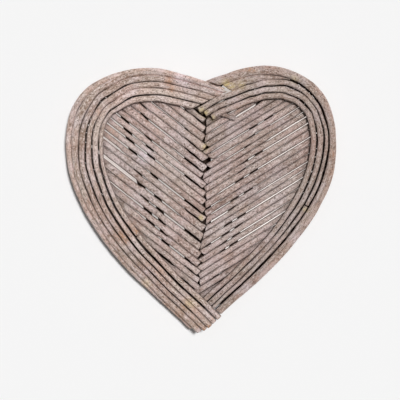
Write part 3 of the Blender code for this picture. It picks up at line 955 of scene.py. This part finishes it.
def field_gaps(plan, x, lines, outlines, rng):
    """Gap along each line of one half: the widest of a closed gap, its openings and its splay.

    The width of an opening is eased in and out. The splay grows towards the outline, under the
    border.
    """
    gaps = np.full(lines.shape, CLOSED_GAP)
    for number, low, high, width in plan["openings"]:
        low, high = low * MM, high * MM
        span = ease(x, low - OPENING_EASE / 2, low + OPENING_EASE / 2)
        span = span * (1 - ease(x, high - OPENING_EASE / 2, high + OPENING_EASE / 2))
        row = number + plan["top_rods"]
        gaps[row] = np.maximum(gaps[row], CLOSED_GAP + width * plan["opening_share"] * MM * span)
    for row, line in enumerate(lines):
        depth = depth_below(outlines, np.stack([x, line], 1))
        splay = rng.uniform(*SPLAY) * (1 - ease(depth, *SPLAY_DEPTHS))
        gaps[row] = np.maximum(gaps[row], CLOSED_GAP + splay)
    return gaps


def field(name, plan, away, sides, outlines, seam, corners, finish, rng):
    """One half of the chevron.

    Neighbouring rods share a line, and each keeps clear of it by half the gap there. A rod's middle
    and half width follow from the two lines that it lies between. Left rods end square at the seam,
    and right rods end against them. Under the border all stop short of the outermost rod.
    """
    heights, slopes = field_lines(plan)
    reach = np.arange(*FIELD_SPAN, RING_STEP)
    x = away * reach + seam[:, 0].mean()
    lines = heights[:, None] + slopes[:, None] * x
    lines = lines + np.array([slow_wave(reach, *FIELD_BEND, rng) for _ in heights])
    gaps = field_gaps(plan, x, lines, outlines, rng)
    spread = np.cos(np.arctan(slopes))[:, None]
    order = slice(None, None, away)
    for k in range(len(heights) - 1):
        upper = lines[k] - gaps[k] / 2 / spread[k]
        lower = lines[k + 1] + gaps[k + 1] / 2 / spread[k + 1]
        half = np.clip((upper - lower) / 2 * (spread[k] + spread[k + 1]) / 2, THINNEST_HALF, None)
        line = np.stack([x, (upper + lower) / 2], 1)
        if away < 0:
            start, cut = left_start(x, line, half, seam, corners, rng)
        else:
            start, cut = right_start(line, half[FIRST_STEPS], corners)
        first = np.argmax((x - start[0]) * away > 0) + FIRST_STEPS
        depth = depth_below(outlines, line[first:])
        last = np.argmax(depth < FIELD_INSET + half.mean())
        steps = np.linspace(start[0], x[first + last], max(FEWEST_STEPS, FIRST_STEPS + last))
        middle = np.stack([steps, np.interp(steps, x[order], line[order, 1])], 1)
        half = np.interp(steps, x[order], half[order])
        shade = [np.maximum(groove(gaps[row]), FIELD_GROOVE) for row in (k, k + 1)[order]]
        shade = [np.interp(steps, x[order], flank[order]) for flank in shade]
        # Painted shade of the field under and beside the border
        shade.append(cover(sides, middle))
        lengths = lengths_along(middle)
        level = FIELD_LEVEL + slow_wave(lengths, *FIELD_RISE, rng) + rng.normal(0, FIELD_RISE_SPREAD)
        height = FIELD_ROD / 2 + slow_wave(lengths, *FIELD_THICKNESS, rng)
        node, title = field_names(name, plan, k)
        rod_piece(title, middle, half, height, level, finish, [node], rng, (cut, None), shade)


def back(finish, rng):
    """Spine of three rods side by side, and four ribs, all straight and lying on the floor."""
    for title, ends in RIBS.items():
        straight_rod(title, placed(ends), title, finish, rng)
    ends = placed(SPINE)
    for k in range(SPINE_RODS):
        shift = np.array([(k - (SPINE_RODS - 1) / 2) * BACK_ROD, 0])
        straight_rod(f"spine_{k + 1}", ends + shift, "spine", finish, rng)


def field_names(name, plan, k):
    """Node and name of the k-th rod of one half: a single rod, or a short one at its top or bottom."""
    node = f"field_{name}"
    number = k - plan["top_rods"] + 1
    single = len(plan["widths"])
    if number < 1:
        return f"{node}_top", f"willow_{node}_top_{k + 1}"
    if number > single:
        return f"{node}_bottom", f"willow_{node}_bottom_{number - single}"
    return f"{node}_{number:02d}", f"willow_{node}_{number:02d}"


def straight(start, end, count):
    """Evenly spaced points from start to end."""
    return start + (end - start) * np.linspace(0, 1, count)[:, None]


def straight_rod(title, ends, node, finish, rng):
    """Rod of the back along the straight line between its ends, a little thicker here and there."""
    line = straight(*ends, BACK_POINTS)
    half = BACK_ROD / 2 - BACK_CLEARANCE + slow_wave(lengths_along(line), *BACK_SWELL, rng)
    name = f"willow_{title}"
    # The upper face gets painted shade from the field that lies over it
    shade = (0, 0, BACK_SHADE)
    rod_piece(name, line, half, half, BACK_LEVEL, finish, [node], rng, shade=shade)


def stub(finish, rng):
    """Short end of a rod that lies over the top rods of the right half, sloping down to them."""
    line = straight(*placed(STUB), STUB_POINTS)
    level = BORDER_LEVEL - np.linspace(*STUB_DROP, STUB_POINTS)
    half = STUB_ROD / 2
    height = half * STUB_FLATNESS
    rod_piece("willow_stub", line, half, height, level, finish, [], rng, shade=STUB_SHADE)


def splinters(finish, rng):
    """Torn fibres of raw wood that stand out of the split end of the short border rod.

    Each runs from its tip back into the rod, and thickens from the tip on.
    """
    face = np.array(SPLIT_FACE) * MM
    run = np.array([np.cos(np.radians(SPLINTER_ANGLE)), np.sin(np.radians(SPLINTER_ANGLE))])
    level = BORDER_LEVEL + SPLINTER_RISE
    thin, filled = SPLINTER_TAPER
    swell = thin + (1 - thin) * ease(np.linspace(0, 1, SPLINTER_POINTS), 0, filled)
    for number, (share, out, thickness) in enumerate(SPLINTERS, 1):
        base = face[0] + (face[1] - face[0]) * share
        tip = base - run * out * MM
        line = straight(tip, base + run * SPLINTER_ROOT, SPLINTER_POINTS)
        half = thickness / 2 * MM * swell
        height = half * SPLINTER_HEIGHT
        name = f"willow_splinter_{number}"
        rod_piece(name, line, half, height, level, finish, [], rng, shade=SPLINTER_SHADE)


def new_group(name, space, values, outputs):
    """Shader group with a vector input, value inputs and value outputs, and its two end nodes."""
    group = bpy.data.node_groups.new(name, "ShaderNodeTree")
    group.interface.new_socket(space, in_out="INPUT", socket_type="NodeSocketVector")
    for title in values:
        group.interface.new_socket(title, in_out="INPUT", socket_type="NodeSocketFloat")
    for title in outputs:
        group.interface.new_socket(title, in_out="OUTPUT", socket_type="NodeSocketFloat")
    return group, group.nodes.new("NodeGroupInput"), group.nodes.new("NodeGroupOutput")


def add_node(tree, kind, settings=None, **inputs):
    """New node with its settings, and its inputs set to values or linked to sockets.

    An input is given by its name, or as i and its number.
    """
    node = tree.nodes.new(kind)
    for key, value in (settings or {}).items():
        setattr(node, key, value)
    for key, value in inputs.items():
        numbered = key[0] == "i" and key[1:].isdigit()
        socket = node.inputs[int(key[1:]) if numbered else key]
        if isinstance(value, bpy.types.NodeSocket):
            tree.links.new(value, socket)
        else:
            socket.default_value = value
    return node


def stretched(tree, vector, scale):
    """The vector times the scale, axis by axis."""
    return add_node(tree, "ShaderNodeMapping", Vector=vector, Scale=scale).outputs["Vector"]


def noise(tree, vector, scale, detail, roughness=0.6):
    """Noise between 0 and 1 on the vector."""
    inputs = {"Vector": vector, "Scale": scale, "Detail": detail, "Roughness": roughness}
    return add_node(tree, "ShaderNodeTexNoise", **inputs).outputs["Fac"]


def remap(tree, value, low, high, to_low=0.0, to_high=1.0):
    """Value from low to high brought smoothly to the new range."""
    ranges = {"From Min": low, "From Max": high, "To Min": to_low, "To Max": to_high}
    settings = {"interpolation_type": "SMOOTHSTEP"}
    return add_node(tree, "ShaderNodeMapRange", settings, Value=value, **ranges).outputs["Result"]


def maths(tree, operation, first, *others):
    """The values joined by an operation, from the first one on."""
    for other in others:
        node = add_node(tree, "ShaderNodeMath", {"operation": operation}, i0=first, i1=other)
        first = node.outputs[0]
    return first


def mixed(tree, share, first, second, blend="MIX"):
    """Second colour over the first one, by the share."""
    settings = {"data_type": "RGBA", "blend_type": blend}
    node = add_node(tree, "ShaderNodeMix", settings, i0=share, i6=first, i7=second)
    return node.outputs[2]


def product(tree, *values):
    """Product of the values."""
    return maths(tree, "MULTIPLY", *values)


def fibre_group():
    """Streaks along the bark: noise stretched along the rod, fine and middling, and a mottle."""
    group, given, made = new_group("fibre_streaks", "Vector", (), ("Fine", "Broad", "Mottle"))
    for title, scale, detail, roughness, low, high in (
        ("Fine", (160, 1500, 1500), 4, 0.65, 0.36, 0.64),
        ("Broad", (45, 480, 480), 3, 0.6, 0.34, 0.66),
        ("Mottle", (460, 760, 760), 4, 0.7, 0.33, 0.67),
    ):
        space = stretched(group, given.outputs["Vector"], scale)
        streaks = remap(group, noise(group, space, 1.0, detail, roughness), low, high)
        group.links.new(streaks, made.inputs[title])
    return group


def speck_group():
    """Small dark pits and pale crumbs of lime, as thresholds of fine noise."""
    group, given, made = new_group("specks", "Vector", (), ("Dark", "Pale"))
    for title, scale, low, high in (
        ("Dark", (480, 760, 760), 0.58, 0.67),
        ("Pale", (-500, 800, 800), 0.57, 0.68),
    ):
        space = stretched(group, given.outputs["Vector"], scale)
        group.links.new(remap(group, noise(group, space, 1.0, 2), low, high), made.inputs[title])
    return group


def wash_group():
    """Where the lime wash lies thick, browner or pinker: wide patches over the whole heart.

    The thick ones are broken by the streaks.
    """
    outputs = ("Thick", "Hue", "Pink")
    group, given, made = new_group("wash_patches", "Object", ("Streaks",), outputs)
    place = given.outputs["Object"]
    moved = add_node(group, "ShaderNodeMapping", Vector=place, Location=(3, 1, 0)).outputs["Vector"]
    streaks = product(group, given.outputs["Streaks"], 0.14)
    thick = maths(group, "ADD", noise(group, place, 38, 3), streaks)
    group.links.new(remap(group, thick, 0.50, 0.74), made.inputs["Thick"])
    group.links.new(remap(group, noise(group, place, 60, 4, 0.7), 0.35, 0.65), made.inputs["Hue"])
    group.links.new(remap(group, noise(group, moved, 24, 4, 0.7), 0.38, 0.62), made.inputs["Pink"])
    return group


def attribute(tree, name, output="Fac"):
    """An attribute of the mesh, as a value or a vector."""
    return add_node(tree, "ShaderNodeAttribute", {"attribute_name": name}).outputs[output]


def willow(name, groups, bark, grey, brown, roughness):
    """Willow bark under a worn lime wash.

    From the bottom up: brown bark, grey wash where the streaks let it hold, brownish and pinkish
    areas by the rod's own warmth, thick lilac wash, orange stains, raw wood, buds and specks. All
    of it is multiplied by the brightness, which holds painted light on nearly closed grooves, and
    darkened by painted shade in the grooves between rods, under the border and on the back.
    """
    material = bpy.data.materials.new(name)
    material.use_nodes = True
    tree = material.node_tree
    shader = tree.nodes["Principled BSDF"]
    rod_space = attribute(tree, "rod_space", "Vector")
    places = add_node(tree, "ShaderNodeTexCoord").outputs["Object"]
    fibres = add_node(tree, "ShaderNodeGroup", {"node_tree": groups["fibres"]}, Vector=rod_space)
    specks = add_node(tree, "ShaderNodeGroup", {"node_tree": groups["specks"]}, Vector=rod_space)
    wash = add_node(tree, "ShaderNodeGroup", {"node_tree": groups["wash"]}, Object=places)
    fine, broad, mottle = (fibres.outputs[title] for title in ("Fine", "Broad", "Mottle"))
    tree.links.new(broad, wash.inputs["Streaks"])
    marks = ("tone", "warmth", "thick_wash", "stain", "raw_wood", "cut_end", "bud", "bright", "shelter")
    mark = {title: attribute(tree, title) for title in marks}

    streaks = ((fine, 0.42), (mottle, 0.52), (broad, 0.14), (mark["tone"], 0.18))
    hold = maths(tree, "ADD", *(product(tree, value, weight) for value, weight in streaks))
    warm = product(tree, mark["warmth"], 0.45)
    warm = maths(tree, "ADD", warm, product(tree, wash.outputs["Hue"], 0.55))
    thick = product(tree, wash.outputs["Thick"], 0.36)
    thick = maths(tree, "MAXIMUM", thick, product(tree, mark["thick_wash"], 0.9))
    thick_where = remap(tree, mottle, 0.0, 0.8, 0.45, 1.0)
    stain_where = remap(tree, mottle, 0.1, 0.7)
    raw_where = remap(tree, broad, 0.0, 0.6, 0.4, 1.0)
    colour = mixed(tree, remap(tree, hold, 0.18, 0.84), bark, grey)
    colour = mixed(tree, remap(tree, warm, 0.15, 1.0, 0.0, 0.75), colour, brown)
    colour = mixed(tree, wash.outputs["Pink"], colour, PINK_TINT, "MULTIPLY")
    for factors, tint in (
        ((thick, thick_where), THICK_WASH_COLOUR),
        ((mark["stain"], stain_where, 0.9), STAIN_COLOUR),
        ((mark["raw_wood"], raw_where, 0.9), RAW_WOOD_COLOUR),
        ((mark["cut_end"], 0.7), SAWN_COLOUR),
        ((mark["bud"], 0.55), BUD_COLOUR),
        ((specks.outputs["Pale"], 0.75), CRUMB_COLOUR),
        ((specks.outputs["Dark"], 0.85), PIT_COLOUR),
    ):
        colour = mixed(tree, product(tree, *factors), colour, tint)
    settings = {"operation": "SCALE"}
    lit = add_node(tree, "ShaderNodeVectorMath", settings, i0=colour, Scale=mark["bright"])
    # Painted shade: the colour goes towards near-black in the grooves, under the border and on the back
    colour = mixed(tree, mark["shelter"], lit.outputs[0], PAINTED_SHADE_COLOUR)
    rough = remap(tree, mottle, 0.0, 1.0, roughness + 0.08, roughness - 0.08)
    shine = product(tree, maths(tree, "SUBTRACT", 1.0, mark["shelter"]), SHINE)
    relief = maths(tree, "ADD", fine, product(tree, mottle, 0.8))
    relief = maths(tree, "SUBTRACT", relief, specks.outputs["Dark"])
    bump = add_node(tree, "ShaderNodeBump", Height=relief, Strength=0.8, Distance=0.3 * MM)
    tree.links.new(colour, shader.inputs["Base Color"])
    tree.links.new(rough, shader.inputs["Roughness"])
    tree.links.new(shine, shader.inputs["Specular IOR Level"])
    tree.links.new(bump.outputs["Normal"], shader.inputs["Normal"])
    return material


def plain(name, colour, roughness, glow=0.0):
    """Even finish of the floor and of the sheets on it; the glow makes a sheet give painted light."""
    material = bpy.data.materials.new(name)
    material.use_nodes = True
    shader = material.node_tree.nodes["Principled BSDF"]
    shader.inputs["Base Color"].default_value = (*colour, 1)
    shader.inputs["Roughness"].default_value = roughness
    shader.inputs["Specular IOR Level"].default_value = 0.0
    shader.inputs["Emission Color"].default_value = (*colour, 1)
    shader.inputs["Emission Strength"].default_value = glow
    return material


def flat_piece(name, points, level, finish):
    """Flat sheet with the given corners at one level, for the picture only."""
    mesh = bpy.data.meshes.new(name)
    corners = np.c_[points, np.full(len(points), level)]
    mesh.from_pydata(corners.tolist(), [], [list(range(len(points)))])
    linked_piece(mesh, finish)


def floor_and_paper(left, right):
    """Pale floor and what shows through the gaps: a black sheet of painted shadow, and glowing sheets
    of painted light under the open field.
    """
    edge = FLOOR_SIZE / 2
    square = np.array([(-edge, -edge), (edge, -edge), (edge, edge), (-edge, edge)])
    flat_piece("floor", square, 0, plain("floor_white", FLOOR_COLOUR, 0.9))

    down, up = (
        side.inset(np.linspace(*shares, SHEET_STEPS), SHADOW_INSET)
        for side, shares in zip((left, right), SHADOW_SHARES)
    )
    shadow = np.concatenate([down, up[::-1]])
    flat_piece("shadow_sheet", shadow, PAPER_LEVEL / 2, plain("shadow_black", SHADOW_COLOUR, 1.0))

    lit = plain("lit_white", PAPER_COLOUR, 0.9, PAPER_GLOW)
    for title, side, (stations, insets), x in (
        ("left", left, PAPER_LEFT, PAPER_SLIT[0]),
        ("right", right, PAPER_RIGHT, PAPER_SLIT[1]),
    ):
        shares = np.linspace(stations[0], stations[-1], SHEET_STEPS)
        ring = side.inset(shares, np.interp(shares, stations, insets) * MM)
        slit = [(x, ring[-1][1]), (x, ring[0][1])]
        keep = ring[(ring[:, 0] - x) * np.sign(x) > 0]
        flat_piece(f"lit_sheet_{title}", np.concatenate([keep, slit]), PAPER_LEVEL, lit)
    middle, radius = NOTCH_PAPER
    turn = np.linspace(0, 2 * np.pi, NOTCH_CORNERS, endpoint=False)
    disc = (np.array(middle) + radius * np.stack([np.cos(turn), np.sin(turn)], 1)) * MM
    flat_piece("lit_sheet_notch", disc, PAPER_LEVEL, lit)


def light_and_camera():
    """Soft sun from the upper right, even sky, and a camera straight above the heart.

    The camera's height is the width of the view times the lens, divided by the sensor.
    """
    scene = bpy.context.scene
    sun = bpy.data.lights.new("key", "SUN")
    sun.energy = SUN_STRENGTH
    sun.angle = np.radians(SUN_SPREAD)
    lamp = bpy.data.objects.new("key", sun)
    lamp.rotation_euler = (np.radians(SUN_TILT), 0, np.radians(SUN_TURN))
    scene.collection.objects.link(lamp)
    world = bpy.data.worlds.new("studio")
    world.use_nodes = True
    sky = world.node_tree.nodes["Background"].inputs
    sky["Color"].default_value = (1, 1, 1, 1)
    sky["Strength"].default_value = SKY_STRENGTH
    scene.world = world
    scene.view_settings.view_transform = "Standard"
    camera = bpy.data.cameras.new("camera")
    camera.lens = LENS
    camera.sensor_width = SENSOR
    eye = bpy.data.objects.new("camera", camera)
    eye.location = (*VIEW_CENTRE, BORDER_LEVEL + VIEW_WIDTH * LENS / SENSOR)
    scene.collection.objects.link(eye)
    scene.camera = eye


def main():
    """The whole heart, its floor, light and camera."""
    left = Side(LEFT_OUTLINE, LEFT_STATIONS, LEFT_EDGES, LEFT_GAPS, inward=1)
    right = Side(RIGHT_OUTLINE, RIGHT_STATIONS, RIGHT_EDGES, RIGHT_GAPS, inward=-1)
    groups = {"fibres": fibre_group(), "specks": speck_group(), "wash": wash_group()}
    finishes = {name: willow(name, groups, *looks) for name, looks in FINISHES.items()}
    rng = np.random.default_rng(SEED)
    border(left, right, finishes["border_willow"], rng)

    sides = (left, right)
    notch = placed(RIGHT_OUTLINE[NOTCH_POINT])
    from_notch = np.argmin(np.linalg.norm(right.curve - notch, axis=1))
    outlines = [left.curve, right.curve[from_notch:]]
    seam = placed(SEAM)
    corners = []
    finish = finishes["field_willow"]
    field("left", FIELD["left"], -1, sides, outlines, seam, corners, finish, rng)
    inset = left.inset(np.linspace(0, 1, INSET_POINTS), FIELD_INSET)
    corners += list(inset[inset[:, 1] < corners[-1][1]])
    field("right", FIELD["right"], 1, sides, outlines, seam, corners, finish, rng)

    back(finishes["back_willow"], rng)
    stub(finishes["border_willow"], rng)
    splinters(finishes["border_willow"], rng)
    floor_and_paper(left, right)
    light_and_camera()


main()
